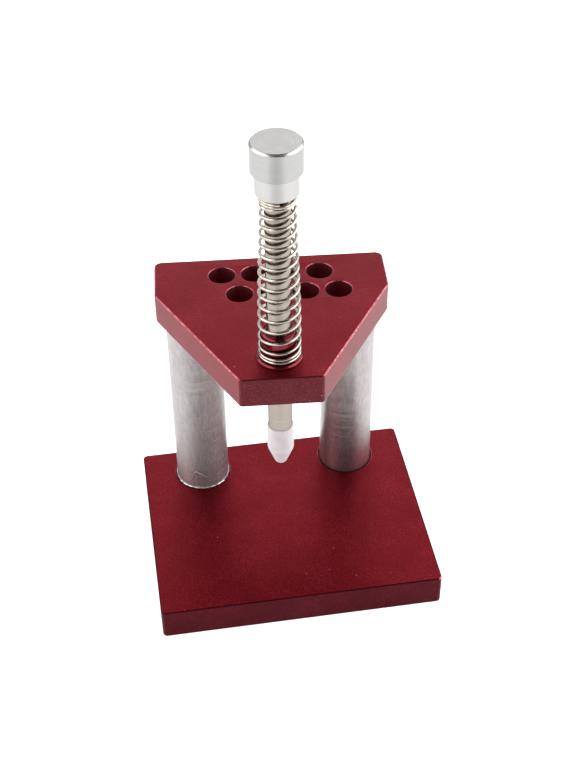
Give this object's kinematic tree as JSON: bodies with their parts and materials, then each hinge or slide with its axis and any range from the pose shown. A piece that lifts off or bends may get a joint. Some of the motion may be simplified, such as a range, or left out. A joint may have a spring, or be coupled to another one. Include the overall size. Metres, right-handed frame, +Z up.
{
  "type": "watch hand press",
  "caption": "Small bench press with a sprung plunger and nylon tip over a flat base, for pushing hands on to watch movements.",
  "frame": {"origin": "middle of the base plate's underside, where the press stands", "axes": "+Z up along the plunger, +X to the right, -Y towards the open front"},
  "size_m": [0.075, 0.0635, 0.1344],
  "materials": {
    "red_anodised": "satin burgundy anodised over a fine blasted surface",
    "red_turned": "turned and anodised dark red",
    "bare_aluminium": "drawn bar with fine turning and handling marks",
    "turned_aluminium": "fine turned",
    "nickel_steel": "polished nickel plated",
    "spring_steel": "bright nickel plated wire",
    "fastener_steel": "zinc plated",
    "nylon": "natural white nylon, slightly translucent"
  },
  "bodies": {
    "frame": {"base_plate": "red_anodised", "left_pillar": "bare_aluminium", "right_pillar": "bare_aluminium", "left_base_screw": "fastener_steel", "right_base_screw": "fastener_steel", "left_top_stud": "fastener_steel", "right_top_stud": "fastener_steel", "top_plate": "red_anodised", "guide_bush": "red_turned", "return_spring": "spring_steel"},
    "slider": {"retaining_ring": "fastener_steel"},
    "plunger": {"plunger_rod": "nickel_steel", "press_knob": "turned_aluminium", "nylon_tip": "nylon"}
  },
  "joints": [
    {"name": "press_stroke", "type": "slide", "parent": "frame", "child": "slider", "axis": [0, 0, -1], "range_m": [0, 0.0295], "stiffness_N_per_m": 290, "springref_m": -0.006, "deforming": ["return_spring"]},
    {"name": "plunger_spin", "type": "hinge", "parent": "slider", "child": "plunger", "pos_m": [-0.0026, -0.01019, 0.0663], "axis": [0, 0, 1], "continuous": true}
  ]
}
